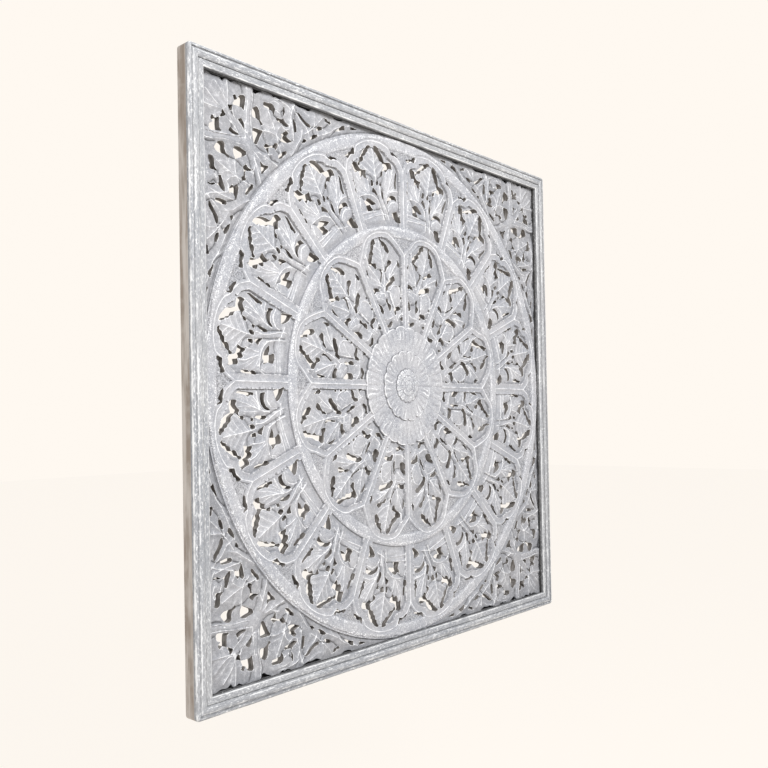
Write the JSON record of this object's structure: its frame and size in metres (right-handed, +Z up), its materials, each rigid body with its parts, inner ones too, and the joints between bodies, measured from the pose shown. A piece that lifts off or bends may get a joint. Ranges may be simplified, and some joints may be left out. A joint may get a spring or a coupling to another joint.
{
  "type": "carved wall panel",
  "caption": "Square wall panel of pierced carved wood: a rosette in rings of arched leafy fields, foliage in the corners, in a mitred moulded frame with worn paint.",
  "frame": {"origin": "middle of the top rail's flat back face, where the panel hangs on the wall", "axes": "+Z up, +Y back towards the wall, +X to the right of someone who faces the carving"},
  "size_m": [0.9, 0.026, 0.9],
  "materials": {
    "moulding_paint": "pale blue-grey paint, rubbed white on the bead and bare on the outer edges",
    "carving_paint": "pale blue-grey paint, rubbed white on the raised edges, bare wood inside the piercings"
  },
  "bodies": {
    "root": {"rail_top": "moulding_paint", "rail_left": "moulding_paint", "rail_bottom": "moulding_paint", "rail_right": "moulding_paint", "carved_board": "carving_paint"}
  },
  "joints": []
}
